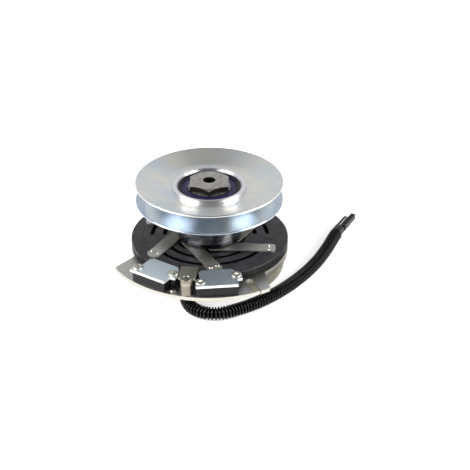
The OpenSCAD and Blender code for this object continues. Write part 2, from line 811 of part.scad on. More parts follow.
module pulley_bearing_outer() {
    color("#5e5f63")
        race(pulley_bearing_od / 2, pulley_bearing_od / 2 - pulley_race_t, pulley_bearing_z,
             pulley_bearing_w, pulley_pitch_r, pulley_ball_r, pulley_ball_rows);
}

module pulley_bearing_balls() {
    color("#d9dcdf")
        balls(pulley_ball_count, pulley_bearing_z, pulley_bearing_w, pulley_pitch_r, pulley_ball_r,
              pulley_ball_rows);
}

module seal(z) {
    color("#3d2b6b")
        ring(pulley_bearing_od / 2 - pulley_race_t, arbor_r + pulley_race_t + run_gap, z, seal_t);
}

module upper_seal() seal(pulley_bearing_top - seal_sink - seal_t);
module lower_seal() seal(pulley_bearing_z + seal_sink);

module at_spring(i) {
    rotate([0, 0, spring_turn + i * 360 / spring_count]) translate([0, -spring_offset, 0]) children();
}

module hub_rivets() {
    color("#b9b8b0")
        for (i = [0 : spring_count - 1])
            at_spring(i)
                translate([spring_start, 0, 0]) {
                    translate([0, 0, hub_z - spring_t - rivet_head_t])
                        cylinder(r = rivet_head_r, h = rivet_head_t);
                    translate([0, 0, hub_z - spring_t - eps])
                        cylinder(r = rivet_r, h = spring_t + hub_rivet_len);
                }
}

// a leaf spring is a bent strip: a side view swept across its width, cut to its plan
module spring_plan() {
    c = spring_corner_r;
    side = spring_w / 2;
    polygon(concat(
        arc([spring_back + c, c - side], c, 180, 270, 6), arc([spring_tip - c, c - side], c, 270, 360, 6),
        arc([spring_tip - c, side - c], c, 0, 90, 6), arc([spring_back + c, side - c], c, 90, 180, 6)));
}

module leaf_spring(i) {
    lift = spring_rise;
    far = 2 * spring_tip;
    cut_z = spring_z - over;
    cut_h = spring_rise + spring_t + 2 * over;
    color("#a5a08f")
        difference() {
            at_spring(i)
                intersection() {
                    translate([0, spring_w / 2 + over, spring_z])
                        rotate([90, 0, 0])
                            linear_extrude(spring_w + 2 * over)
                                polygon([[-far, lift], [spring_ramp[0], lift], [spring_ramp[1], 0],
                                         [far, 0], [far, spring_t], [spring_ramp[1], spring_t],
                                         [spring_ramp[0], lift + spring_t], [-far, lift + spring_t]]);
                    translate([0, 0, cut_z]) linear_extrude(cut_h) spring_plan();
                }
            translate([0, 0, cut_z]) cylinder(r = hub_bore_r, h = cut_h);
            at_spring(i) {
                translate([spring_start, 0, cut_z]) cylinder(r = rivet_r + fit_gap, h = cut_h);
                for (side = [-1, 1])
                    translate([spring_rivet_at, side * tip_rivet_y, cut_z])
                        cylinder(r = tip_rivet_r + fit_gap, h = cut_h);
            }
        }
}

module leaf_spring_1() leaf_spring(0);
module leaf_spring_2() leaf_spring(1);
module leaf_spring_3() leaf_spring(2);
module leaf_spring_4() leaf_spring(3);
module leaf_spring_5() leaf_spring(4);
module leaf_spring_6() leaf_spring(5);

// ---- the armature, which slides on its springs ----

module armature() {
    color("#38363a")
        difference() {
            rotate_extrude()
                polygon([[armature_bore_r, armature_z], [armature_r - rim_chamfer, armature_z],
                         [armature_r, armature_z + rim_chamfer], [armature_r, armature_top - rim_chamfer],
                         [armature_r - rim_chamfer, armature_top], [armature_bore_r, armature_top]]);
            for (r = slot_rings, span = slot_spans)
                arc_slot(r, armature_slot_w, span[0], span[1], armature_z - over, armature_t + 2 * over);
            for (i = [0 : spring_count - 1], side = [-1, 1])
                at_spring(i)
                    translate([spring_rivet_at, side * tip_rivet_y, armature_z - over])
                        cylinder(r = tip_rivet_r + fit_gap, h = armature_t + 2 * over);
        }
}

module armature_rivets() {
    color("#c3c1b8")
        for (i = [0 : spring_count - 1], side = [-1, 1])
            at_spring(i)
                translate([spring_rivet_at, side * tip_rivet_y, 0]) {
                    translate([0, 0, armature_z + 0.3])
                        cylinder(r = tip_rivet_r, h = armature_t + spring_t);
                    translate([0, 0, armature_top + spring_t])
                        rotate_extrude()
                            polygon(concat([[0, 0], [tip_head_r, 0], [tip_head_r, 0.2]],
                                arc([tip_head_r - 0.8, 0.2], 0.8, 0, 90, 4), [[0, 1]]));
                }
}

field_shell();
field_bracket();
coil_bobbin();
coil_winding();
coil_potting();
coil_leads();
field_bearing_outer();
field_bearing_balls();
field_bearing_seals();
wire_grommet();
loom();
connector_housing();
connector_terminals();
brake_magnet_left();
brake_magnet_right();
brake_plate_left();
brake_plate_right();
brake_screws();
stop_post();
post_bolt();
stop_tab();
bracket_rivet();
arbor();
rotor();
friction_ring();
field_bearing_inner();
rotor_snap_ring();
bearing_spacer();
pulley_bearing_inner();
pulley_hub();
upper_flange();
lower_flange();
pulley_bearing_outer();
pulley_bearing_balls();
upper_seal();
lower_seal();
hub_rivets();
leaf_spring_1();
leaf_spring_2();
leaf_spring_3();
leaf_spring_4();
leaf_spring_5();
leaf_spring_6();
armature();
armature_rivets();
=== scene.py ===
# %% [markdown]
# # An electromagnetic clutch, finished in Blender
# The CAD model already holds every rigid piece at its true size, place and joint. This lesson
# lights it, gives each piece the finish of its real material, and models the pieces that a CAD
# program draws too plainly, such as the corrugated loom and the moulded connector.
# The frame comes first: it brings in the CAD pieces, one object each, in metres.

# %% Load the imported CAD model
import math

import bmesh
import bpy
from mathutils import Matrix, Vector


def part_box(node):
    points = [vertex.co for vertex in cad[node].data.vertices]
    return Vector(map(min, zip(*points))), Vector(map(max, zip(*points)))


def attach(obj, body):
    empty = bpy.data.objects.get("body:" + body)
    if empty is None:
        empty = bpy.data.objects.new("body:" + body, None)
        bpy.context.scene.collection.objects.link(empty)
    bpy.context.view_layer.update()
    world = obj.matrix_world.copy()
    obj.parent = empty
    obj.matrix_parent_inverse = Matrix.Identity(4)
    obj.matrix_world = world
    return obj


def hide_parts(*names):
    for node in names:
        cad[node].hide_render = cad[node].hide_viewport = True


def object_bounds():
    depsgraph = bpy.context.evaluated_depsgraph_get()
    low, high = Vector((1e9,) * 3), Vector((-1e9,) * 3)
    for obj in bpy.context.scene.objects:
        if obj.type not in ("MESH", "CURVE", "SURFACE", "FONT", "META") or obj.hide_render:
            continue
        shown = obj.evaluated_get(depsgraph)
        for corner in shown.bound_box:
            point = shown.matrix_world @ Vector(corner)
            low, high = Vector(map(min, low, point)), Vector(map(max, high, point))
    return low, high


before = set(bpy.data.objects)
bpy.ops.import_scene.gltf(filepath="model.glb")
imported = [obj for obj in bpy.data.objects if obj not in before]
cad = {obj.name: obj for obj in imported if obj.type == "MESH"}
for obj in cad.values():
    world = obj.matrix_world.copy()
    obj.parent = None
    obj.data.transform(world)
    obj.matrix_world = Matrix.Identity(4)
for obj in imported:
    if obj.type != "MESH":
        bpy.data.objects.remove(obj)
cad_low, cad_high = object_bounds()
MM = 0.001
print(len(cad), "CAD pieces; the model is", [round(v / MM, 1) for v in cad_high - cad_low], "mm")

# %% [markdown]
# ## The camera
# A part of this size is best shown through a long lens from above the front, so that circles
# keep their shape and no edge is stretched. A camera could be turned by hand until it fits, but
# here it is backed off from the point that it aims at, so that it always looks there. The aim
# lies a little to the right of the shaft, because the loom makes the object wider on that side.

# %% Place the camera
CAMERA_DISTANCE = 1.3
CAMERA_HEIGHT_ANGLE = math.radians(29.98)
AIM = Vector((0.0234, 0, 0.0309))
LENS_MM = 107.2

bpy.ops.object.select_all(action="DESELECT")
back_off = Vector((0, -math.cos(CAMERA_HEIGHT_ANGLE), math.sin(CAMERA_HEIGHT_ANGLE)))
bpy.ops.object.camera_add(
    location=AIM + CAMERA_DISTANCE * back_off,
    rotation=(math.pi / 2 - CAMERA_HEIGHT_ANGLE, 0, 0),
)
camera = bpy.context.object
camera.data.lens = LENS_MM
bpy.context.scene.camera = camera
print("camera at", [round(v, 3) for v in camera.location])

# %% [markdown]
# ## Helpers for shaping
# Each new piece starts from a primitive, is shaped in edit mode, and ends with its place in its
# mesh: its object sits at the origin, unturned. Everything is deselected first, because an
# operator acts on all that is selected. These few steps come back for every piece, so each is a
# function of its own.

# %% Helpers for shaping
MERGE = 0.01 * MM       # points closer than this are one point


def deselect():
    """Leaves nothing selected, so that the next operator touches only the new piece."""
    if bpy.context.object and bpy.context.object.mode != "OBJECT":
        bpy.ops.object.mode_set(mode="OBJECT")
    bpy.ops.object.select_all(action="DESELECT")


def take(piece):
    """Makes one piece the selected and active one."""
    deselect()
    piece.select_set(True)
    bpy.context.view_layer.objects.active = piece


def name_piece(name):
    """Names the piece just made and puts its place into its mesh."""
    piece = bpy.context.object
    if piece.mode != "OBJECT":
        bpy.ops.object.mode_set(mode="OBJECT")
    piece.name = piece.data.name = name
    bpy.ops.object.transform_apply(location=True, rotation=True, scale=True)
    return piece


def apply_all(piece):
    """Applies every modifier of a piece, from the top down."""
    take(piece)
    for modifier in list(piece.modifiers):
        bpy.ops.object.modifier_apply(modifier=modifier.name)


def smooth(piece, degrees=35):
    """Shades a piece smooth, but keeps the edges sharper than the angle."""
    take(piece)
    bpy.ops.object.shade_smooth_by_angle(angle=math.radians(degrees))


print("points merge within", MERGE / MM, "mm")

# %% [markdown]
# ## The split loom
# The real loom is a black polyethylene tube, corrugated so that it bends easily. One way is to
# sweep a circle along a curve and fake the ridges with bump, but the ridges show in the outline
# here. So one ridge is shaped, repeated along a straight line with an Array modifier, and bent
# along the route with a Curve modifier. The route is the one that the CAD loom follows.

# %% The points of the route
LOOM_START_MM = (-20, -69, 8.2)
LOOM_ON_FLOOR_MM = 6.3  # height of the loom's middle where it lies on the floor
# each step is right and back from the start, and a share of the start's height above the floor
LOOM_STEPS_MM = [
    (0, 0, 1), (0.1, -4, 0.84), (0.9, -8, 0.47), (3.4, -14.1, 0.12), (7.4, -19.4, 0),
    (12.7, -23.4, 0), (18.8, -25.9, 0), (25.4, -26.8, 0), (31.6, -26, 0), (37.8, -23.8, 0),
    (44, -20.6, 0), (50, -17.3, 0), (56, -13.6, 0), (62, -9.4, 0), (68, -4.7, 0), (75, 1.5, 0),
    (82, 8.4, 0), (89, 16.1, 0), (96, 24.6, 0), (102.5, 33.4, 0), (108.6, 42.4, 0),
    (114.2, 51.6, 0), (119.2, 60.9, 0), (123.8, 70.3, 0), (128, 80, 0), (131.8, 89.5, 0),
    (135.2, 98.8, 0), (138.2, 107, 0), (141, 114, 0),
]
start_x, start_y, start_z = LOOM_START_MM
LOOM_ROUTE_MM = [
    (start_x + right, start_y + back, LOOM_ON_FLOOR_MM + share * (start_z - LOOM_ON_FLOOR_MM))
    for right, back, share in LOOM_STEPS_MM
]
print("the route of the loom has", len(LOOM_ROUTE_MM), "points")

# %% A curve through the points
PLUG_HEADING = math.radians(63.4)
START_HEADING = Vector((0, -1, 0))
END_HEADING = Vector((math.cos(PLUG_HEADING), math.sin(PLUG_HEADING), 0))
HANDLE_SHARE = 0.35     # shorter handles keep the bends from bulging outside the CAD loom
END_HANDLE_MM = 2
CURVE_STEPS = 12        # from one point to the next

deselect()
bpy.ops.curve.primitive_bezier_curve_add()
route_curve = bpy.context.object
route_curve.name = "loom_route"
route_curve.data.splines.clear()
route = route_curve.data.splines.new("BEZIER")
route.bezier_points.add(len(LOOM_ROUTE_MM) - 1)
for point, place in zip(route.bezier_points, LOOM_ROUTE_MM):
    point.co = Vector(place) * MM
    point.handle_left_type = point.handle_right_type = "AUTO"
bpy.context.view_layer.update()
for point in route.bezier_points:
    left, right = point.handle_left.copy(), point.handle_right.copy()
    point.handle_left_type = point.handle_right_type = "FREE"
    point.handle_left = point.co.lerp(left, HANDLE_SHARE)
    point.handle_right = point.co.lerp(right, HANDLE_SHARE)
first, last = route.bezier_points[0], route.bezier_points[-1]
for point, heading in ((first, START_HEADING), (last, END_HEADING)):
    point.handle_left = point.co - heading * END_HANDLE_MM * MM
    point.handle_right = point.co + heading * END_HANDLE_MM * MM
route_curve.data.resolution_u = CURVE_STEPS
route_curve.data.dimensions = "3D"

route_mesh = route_curve.to_mesh()
loom_path = [v.co.copy() for v in route_mesh.vertices]
route_curve.to_mesh_clear()
loom_length = sum((b - a).length for a, b in zip(loom_path, loom_path[1:]))
print("the loom is", round(loom_length / MM, 1), "mm long, with", len(loom_path), "route points")

# %% One ridge of the tube
LOOM_DIAMETER = 12.5 * MM
LOOM_SIDES = 44
RIDGE_PITCH_MM = 2.9
CLEARANCE_MM = 0.22     # keeps the bent ridges inside the CAD loom
VALLEY_DEPTH_MM = 1.9
WALL_TOP_MM = 0.7       # how far below the crest the ridge's wall ends
ROUNDING_MM = 0.2
ridge_count = round(loom_length / MM / RIDGE_PITCH_MM)
pitch = loom_length / ridge_count
outer_r = LOOM_DIAMETER / 2 - CLEARANCE_MM * MM
valley_r = LOOM_DIAMETER / 2 - VALLEY_DEPTH_MM * MM
wall_r, round_r = outer_r - WALL_TOP_MM * MM, outer_r - ROUNDING_MM * MM
# share of the pitch, and radius, of each ring of one ridge
RIDGE_RINGS = [
    (0, valley_r), (0.36, valley_r), (0.42, wall_r), (0.5, round_r), (0.6, outer_r),
    (0.77, outer_r), (0.87, round_r), (0.94, wall_r), (1, valley_r),
]
deselect()
bpy.ops.mesh.primitive_circle_add(
    vertices=LOOM_SIDES, radius=valley_r, rotation=(0, math.pi / 2, 0), fill_type="NOTHING")
bpy.ops.object.mode_set(mode="EDIT")
bpy.ops.mesh.select_all(action="SELECT")
share, radius = RIDGE_RINGS[0]
for next_share, next_radius in RIDGE_RINGS[1:]:
    bpy.ops.mesh.extrude_region_move(
        TRANSFORM_OT_translate={"value": ((next_share - share) * pitch, 0, 0)})
    bpy.ops.transform.resize(
        value=(1, next_radius / radius, next_radius / radius),
        center_override=(next_share * pitch, 0, 0))
    share, radius = next_share, next_radius
loom = name_piece("loom_tube")
print("one ridge:", len(loom.data.polygons), "faces over", round(pitch / MM, 2), "mm")

# %% Its slit and its valley
SLIT_SIDE = 9           # which of the sides the slit runs along, counted round the tube
SLIT_DEPTH_MM = 0.1
VALLEY_MARGIN_MM = 0.05
# the slit: one line of points sinks a little below the valleys, from end to end
slit_angle = 2 * math.pi * SLIT_SIDE / LOOM_SIDES
for vertex in loom.data.vertices:
    away = math.remainder(math.atan2(vertex.co.z, vertex.co.y) - slit_angle, 2 * math.pi)
    if abs(away) < math.pi / LOOM_SIDES:
        vertex.co.yz = vertex.co.yz.normalized() * (valley_r - SLIT_DEPTH_MM * MM)
# the valleys take a second finish, a painted shade: darker and without gloss
for face in loom.data.polygons:
    in_valley = face.center.yz.length < valley_r + VALLEY_MARGIN_MM * MM
    face.material_index = int(in_valley)
print("valley faces:", sum(face.material_index for face in loom.data.polygons))

# %% The ridge repeated, and bent along the route
repeat = loom.modifiers.new("ridges", "ARRAY")
repeat.count = ridge_count
repeat.use_relative_offset = False
repeat.use_constant_offset = True
repeat.constant_offset_displace = (pitch, 0, 0)
repeat.use_merge_vertices = True
repeat.merge_threshold = MERGE
bend = loom.modifiers.new("along the route", "CURVE")
bend.object = route_curve
apply_all(loom)
# the two open ends are closed, where the loom meets the grommet and the connector
bpy.ops.object.mode_set(mode="EDIT")
bpy.ops.mesh.select_all(action="DESELECT")
bpy.ops.mesh.select_non_manifold()
bpy.ops.mesh.edge_face_add()
bpy.ops.mesh.select_all(action="SELECT")
bpy.ops.mesh.normals_make_consistent(inside=False)
bpy.ops.object.mode_set(mode="OBJECT")
smooth(loom, degrees=50)
bpy.data.objects.remove(route_curve)
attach(loom, "field")
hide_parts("loom")
print("ridges:", ridge_count, "at", round(pitch / MM, 2), "mm;", len(loom.data.polygons), "faces")

# %% [markdown]
# ## The moulded connector
# The plug is a nylon moulding: a block that takes the two wires, and a long tower round each
# terminal. A box could be cut away to that shape, but here it grows like the mould fills: the
# block is split by cuts, its front faces are extruded into towers and their ends are hollowed.
# The coring of the right tower is sunk the same way, and the latch recess is cut by a Boolean,
# because it runs out over two sides of the block.

# %% Sizes of the connector, and its place
PLUG_SIZE_MM = Vector((13, 8.6, 5.6))       # the block: length, width and height
PLUG_LEFT_MM = 0.8              # how far it stands to the left of the loom's middle
LEFT_TOWER_MM = (19.5, 3.6)     # length and width
RIGHT_TOWER_MM = (27, 4.4)
LEFT_TOP_MM = 5.2
WALL_MM = 0.8
TOWER_FLOOR_MM = 3              # where the hollow of a tower ends, from the block's front
EDGE_MM = 0.22                  # the rounding of the mould's edges
block_x, top = PLUG_SIZE_MM.x, PLUG_SIZE_MM.z
half_w = PLUG_SIZE_MM.y / 2
right_in = RIGHT_TOWER_MM[1] - half_w       # where the right tower ends, towards the gap
left_in = half_w - LEFT_TOWER_MM[1]
plug_end = Vector(LOOM_ROUTE_MM[-1]) - Vector((0, 0, top / 2))
PLUG_PLACE = (Matrix.Translation(plug_end * MM) @ Matrix.Rotation(PLUG_HEADING, 4, "Z")
              @ Matrix.Translation((0, PLUG_LEFT_MM * MM, 0)))
print("the connector starts at", [round(v, 1) for v in plug_end], "mm")

# %% Helpers that pick and split faces
NEAR_MM = 0.1           # a face this near to a plane lies in it
FACING = 0.9            # a normal with more than this along an axis looks that way


def box(name, low, high):
    """A box between two corners in mm, which the next steps shape further."""
    deselect()
    low, high = Vector(low) * MM, Vector(high) * MM
    bpy.ops.mesh.primitive_cube_add(size=1, location=(low + high) / 2, scale=high - low)
    return name_piece(name)


def select_faces(piece, wanted):
    """Selects the faces whose centre and normal pass a test, and nothing else."""
    bpy.ops.mesh.select_mode(type="FACE")
    bpy.ops.mesh.select_all(action="DESELECT")
    shape = bmesh.from_edit_mesh(piece.data)
    for face in shape.faces:
        face.select_set(wanted(face.calc_center_median() / MM, face.normal))
    bmesh.update_edit_mesh(piece.data)


def split(at, normal):
    """Cuts every face of the piece in edit mode along a plane, without taking anything away."""
    bpy.ops.mesh.select_all(action="SELECT")
    bpy.ops.mesh.bisect(plane_co=Vector(at) * MM, plane_no=normal)


print("a face within", NEAR_MM, "mm of a plane lies in it")

# %% The block and its two towers
connector = box("connector_moulding", (0, -half_w, 0), (block_x, half_w, top))
bpy.ops.object.mode_set(mode="EDIT")
split((0, right_in, 0), (0, 1, 0))
split((0, left_in, 0), (0, 1, 0))
split((0, 0, LEFT_TOP_MM), (0, 0, 1))
towers = (
    (RIGHT_TOWER_MM[0], lambda centre: centre.y < right_in),
    (LEFT_TOWER_MM[0], lambda centre: centre.y > left_in and centre.z < LEFT_TOP_MM),
)
for length, in_tower in towers:
    select_faces(connector, lambda centre, normal: (
        in_tower(centre) and normal.x > FACING and abs(centre.x - block_x) < NEAR_MM))
    bpy.ops.mesh.extrude_region_move(TRANSFORM_OT_translate={"value": (length * MM, 0, 0)})
    bpy.ops.mesh.inset(thickness=WALL_MM * MM)
    inwards = ((TOWER_FLOOR_MM - length) * MM, 0, 0)
    bpy.ops.mesh.extrude_region_move(TRANSFORM_OT_translate={"value": inwards})
bpy.ops.mesh.select_all(action="SELECT")
bpy.ops.mesh.remove_doubles(threshold=MERGE)
bpy.ops.mesh.normals_make_consistent(inside=False)
bpy.ops.object.mode_set(mode="OBJECT")
print("connector:", len(connector.data.polygons), "faces before its recesses")

# %% The coring of the right tower
CORES = 9               # pockets in each of the two rows
CORE_MM = 1.2
CORE_STEP_MM = 2.4
CORE_START_MM = 4       # from the block's front to the first pocket
CORE_DEPTH_MM = 0.55
CORE_OFF_MM = 0.95      # from the tower's middle to the middle of either row
middle = (right_in - half_w) / 2
core_x = [block_x + CORE_START_MM + number * CORE_STEP_MM for number in range(CORES)]
core_y = [middle - CORE_OFF_MM, middle + CORE_OFF_MM]


def is_core(centre, normal):
    """A face on top of the right tower, in a row and in a place where the coring goes."""
    in_x = any(abs(centre.x - x) < CORE_MM / 2 for x in core_x)
    in_y = any(abs(centre.y - y) < CORE_MM / 2 for y in core_y)
    return in_x and in_y and normal.z > FACING and abs(centre.z - top) < NEAR_MM


take(connector)
bpy.ops.object.mode_set(mode="EDIT")
for x in core_x:
    split((x - CORE_MM / 2, 0, 0), (1, 0, 0))
    split((x + CORE_MM / 2, 0, 0), (1, 0, 0))
for y in core_y:
    split((0, y - CORE_MM / 2, 0), (0, 1, 0))
    split((0, y + CORE_MM / 2, 0), (0, 1, 0))
select_faces(connector, is_core)
bpy.ops.mesh.extrude_region_move(TRANSFORM_OT_translate={"value": (0, 0, -CORE_DEPTH_MM * MM)})
bpy.ops.object.mode_set(mode="OBJECT")
print("cored with", CORES * len(core_y), "pockets")

# %% Helpers that cut, round and set down
EDGE_STEPS = 2


def cut_out(piece, cutter):
    """Subtracts a cutter from a piece, and removes the cutter."""
    cutting = piece.modifiers.new("cut", "BOOLEAN")
    cutting.object = cutter
    cutting.solver = "EXACT"
    apply_all(piece)
    bpy.data.objects.remove(cutter)


def round_edges(piece, width_mm):
    """Rounds a piece's sharp edges, as a mould does, and shades it smooth."""
    edges = piece.modifiers.new("moulded edges", "BEVEL")
    edges.width = width_mm * MM
    edges.segments = EDGE_STEPS
    edges.limit_method = "ANGLE"
    apply_all(piece)
    smooth(piece)


def set_down(piece):
    """Moves a finished piece from the drawing's origin to the end of the loom."""
    take(piece)
    piece.matrix_world = PLUG_PLACE
    bpy.ops.object.transform_apply(location=True, rotation=True, scale=True)


print("edges are rounded in", EDGE_STEPS, "steps")

# %% The latch recess, the rounded edges, and the place of the connector
LATCH_BACK_MM, LATCH_FRONT_MM = 2.5, 1.1    # on either side of the block's front
LATCH_WIDTH_MM = 2.4
LATCH_DEPTH_MM = 4
OVERCUT_MM = 1          # a cutter stands out of the piece, so that no thin skin is left
latch = box("latch_cutter",
            (block_x - LATCH_BACK_MM, -half_w - OVERCUT_MM, top - LATCH_DEPTH_MM),
            (block_x + LATCH_FRONT_MM, LATCH_WIDTH_MM - half_w, top + OVERCUT_MM))
cut_out(connector, latch)
round_edges(connector, EDGE_MM)
set_down(connector)
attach(connector, "field")
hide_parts("connector_housing")
print("connector:", len(connector.data.polygons), "faces")

# %% [markdown]
# ## The terminal lock
# Beside the left tower lies a strip of grey acetal, which is pushed home after the terminals and
# keeps them from backing out. It is a bar with a raised rib, so a box is enough to start with:
# its top is inset and drawn up, and its edges are rounded.

# %% The terminal lock
# two corners, from the block's front, the left tower's inner side and its top
LOCK_LOW_MM, LOCK_HIGH_MM = (1, 0.1, -0.3), (17, 1.2, 0.15)
RIB_INSET_MM = 0.3
RIB_HEIGHT_MM = 0.15
LOCK_EDGE_MM = 0.08
corner = Vector((block_x, left_in, LEFT_TOP_MM))
lock = box("terminal_lock", corner + Vector(LOCK_LOW_MM), corner + Vector(LOCK_HIGH_MM))
bpy.ops.object.mode_set(mode="EDIT")
select_faces(lock, lambda centre, normal: normal.z > FACING)
bpy.ops.mesh.inset(thickness=RIB_INSET_MM * MM)
bpy.ops.mesh.extrude_region_move(TRANSFORM_OT_translate={"value": (0, 0, RIB_HEIGHT_MM * MM)})
bpy.ops.object.mode_set(mode="OBJECT")
round_edges(lock, LOCK_EDGE_MM)
set_down(lock)
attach(lock, "field")
print("terminal lock:", len(lock.data.polygons), "faces")

# %% [markdown]
# ## The start of the loom
# The loom leaves the field at the first point of its route.

print("the cord leaves the field at", [round(v / MM, 1) for v in loom_path[0]], "mm")

# %% [markdown]
# ## The bearing's moulded seals
# Each seal is nitrile rubber moulded on a steel washer. The CAD seal is a flat ring. The real one
# has a rounded bead where it is pressed into the outer race, a shallow dish, and a lip that
# rises before it meets the inner race. A lathe is the natural way to make it, so one circle is
# extruded and resized through the points of that profile, and closes on itself.

# %% A ring shaped as on a lathe
def turned_ring(name, rings, steps):
    """A ring shaped as on a lathe, from (radius, height) pairs in mm that end where they start."""
    deselect()
    radius, height = rings[0]
    bpy.ops.mesh.primitive_circle_add(
        vertices=steps, radius=radius * MM, fill_type="NOTHING", location=(0, 0, height * MM))
    bpy.ops.object.mode_set(mode="EDIT")
    bpy.ops.mesh.select_mode(type="VERT")
    bpy.ops.mesh.select_all(action="SELECT")
    for next_radius, next_height in rings[1:]:
        rise = (0, 0, (next_height - height) * MM)
        bpy.ops.mesh.extrude_region_move(TRANSFORM_OT_translate={"value": rise})
        bpy.ops.transform.resize(
            value=(next_radius / radius, next_radius / radius, 1),
            center_override=(0, 0, next_height * MM))
        radius, height = next_radius, next_height
    bpy.ops.mesh.select_all(action="SELECT")
    bpy.ops.mesh.remove_doubles(threshold=MERGE)
    bpy.ops.mesh.normals_make_consistent(inside=False)
    return name_piece(name)


print("a ring starts from one circle and is drawn through its profile")

# %% Profile of the seals
seal_low, seal_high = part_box("upper_seal")
lower_seal_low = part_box("lower_seal")[0]
SEAL_OUT_MM = (seal_high.x - seal_low.x) / 2 / MM
SEAL_IN_MM = 20         # just clear of the inner race
SEAL_WIDTH_MM = SEAL_OUT_MM - SEAL_IN_MM
SEAL_T_MM = (seal_high.z - seal_low.z) / MM
# radius outwards from the inner edge, as a share of the width, and depth below the face in mm
SEAL_PROFILE = [
    (1, SEAL_T_MM), (1, 0.15), (0.96, 0), (0.86, 0), (0.8, 0.3), (0.42, 0.3),
    (0.36, 0.12), (0.3, 0), (0.1, 0), (0, 0.2), (0, SEAL_T_MM), (1, SEAL_T_MM),
]
print("seals:", round(SEAL_WIDTH_MM, 2), "mm wide and", round(SEAL_T_MM, 2), "mm thick")

# %% Upper and lower seal
SEAL_STEPS = 96         # round the shaft


def seal_face(name, face_mm, upwards):
    """One seal, with its dished face at a height in mm, looking up or down."""
    rings = [(SEAL_IN_MM + share * SEAL_WIDTH_MM, face_mm - upwards * depth)
             for share, depth in SEAL_PROFILE]
    seal = turned_ring(name, rings, SEAL_STEPS)
    smooth(seal, degrees=40)
    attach(seal, "pulley")
    return seal


upper_seal = seal_face("upper_seal_moulding", seal_high.z / MM, 1)
lower_seal = seal_face("lower_seal_moulding", lower_seal_low.z / MM, -1)
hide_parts("upper_seal")
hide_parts("lower_seal")
print("seals:", round(SEAL_OUT_MM, 2), "mm outer radius,",
      len(upper_seal.data.polygons), "faces each")

# %% [markdown]
# ## One helper for shader nodes
# Every finish below is a small tree of nodes. A single function adds any node with its options
# and its sockets, so that each finish reads as a list of what it is made of. Colours are written
# as the hex values that a paint chart gives, and one function turns them to linear light. Two
# more functions start a finish, with its coordinates in millimetres, and put it on the pieces.

# %% One function that adds a node
# a Mix node's two colours and its result, which share their names with its other sockets
MIX_A, MIX_B, MIXED = 6, 7, 2


def hex_colour(code):
    """Turns an sRGB hex colour into the linear RGBA that a shader reads."""
    channels = [int(code[i:i + 2], 16) / 255 for i in (1, 3, 5)]
    linear = [c / 12.92 if c <= 0.04045 else ((c + 0.055) / 1.055) ** 2.4 for c in channels]
    return (*linear, 1)


def add_node(tree, kind, options=None, sockets=None):
    """Adds a node: options are its own settings, sockets maps an input to a value or a link."""
    node = tree.nodes.new("ShaderNode" + kind)
    for option, value in (options or {}).items():
        setattr(node, option, value)
    for socket, value in (sockets or {}).items():
        if isinstance(value, bpy.types.NodeSocket):
            tree.links.new(value, node.inputs[socket])
        else:
            node.inputs[socket].default_value = value
    return node


print("a mid grey is", round(hex_colour("#808080")[0], 3), "in linear light")


# %% The start and the end of a finish
def begin_finish(name, colour, metallic, roughness):
    """A new material: its tree, its shader with the plain values set, and its coordinates in mm."""
    material = bpy.data.materials.new(name)
    material.use_nodes = True
    tree = material.node_tree
    shader = tree.nodes["Principled BSDF"]
    shader.inputs["Base Color"].default_value = hex_colour(colour)
    shader.inputs["Metallic"].default_value = metallic
    shader.inputs["Roughness"].default_value = roughness
    place = add_node(tree, "TexCoord").outputs["Object"]
    in_mm = add_node(tree, "VectorMath", {"operation": "SCALE"}, {0: place, "Scale": 1 / MM})
    return material, tree, shader, in_mm.outputs[0]


def use_finish(material, *node_names):
    """Puts a finish on CAD pieces, by the names of their nodes."""
    for name in node_names:
        cad[name].material_slots[0].material = material
    print(material.name, "on", ", ".join(node_names))


# %% [markdown]
# ## A plain studio
# The part stands on white paper in soft light. The paper is seen as white because its own colour
# and a little glow for the camera make it so, and not because more light falls on the object.
# A room with walls could be modelled round it, but a world whose brightness changes with the
# direction does the same: it is white behind the object and dimmer in front, which is what gives
# polished metal its dark bands between two bright ones.

# %% The floor
FLOOR_SIZE_M = 12
FLOOR_GAP_MM = 0.05     # so that the floor never flickers through a piece that stands on it
FLOOR_WHITE = "#EDEDED"
FLOOR_GLOW = 0.6

deselect()
bpy.ops.mesh.primitive_plane_add(
    size=FLOOR_SIZE_M, location=(0, 0, cad_low.z - FLOOR_GAP_MM * MM))
floor = name_piece("floor")
paper, tree, shader, _ = begin_finish("white_paper", FLOOR_WHITE, 0, 0.9)
rays = add_node(tree, "LightPath")
seen = add_node(tree, "Math", {"operation": "MAXIMUM"}, {
    0: rays.outputs["Is Camera Ray"], 1: rays.outputs["Is Glossy Ray"]})
seen = add_node(tree, "Math", {"operation": "MAXIMUM"}, {
    0: seen.outputs[0], 1: rays.outputs["Is Transmission Ray"]})
glow = add_node(tree, "Math", {"operation": "MULTIPLY"}, {0: seen.outputs[0], 1: FLOOR_GLOW})
tree.links.new(glow.outputs[0], shader.inputs["Emission Strength"])
shader.inputs["Emission Color"].default_value = hex_colour("#FFFFFF")
floor.data.materials.append(paper)
print("floor at", round(cad_low.z / MM - FLOOR_GAP_MM, 2), "mm")

# %% The world: white behind the object, dim in front
WORLD_BACK, WORLD_FRONT, WORLD_ZENITH = 0.88, 0.2, 0.4
FRONT_TO_BACK = (-0.75, 0.45)   # the direction's y where the front ends and the back starts
WALL_TO_ZENITH = (0.6, 0.92)    # the direction's z where the wall ends and the zenith starts

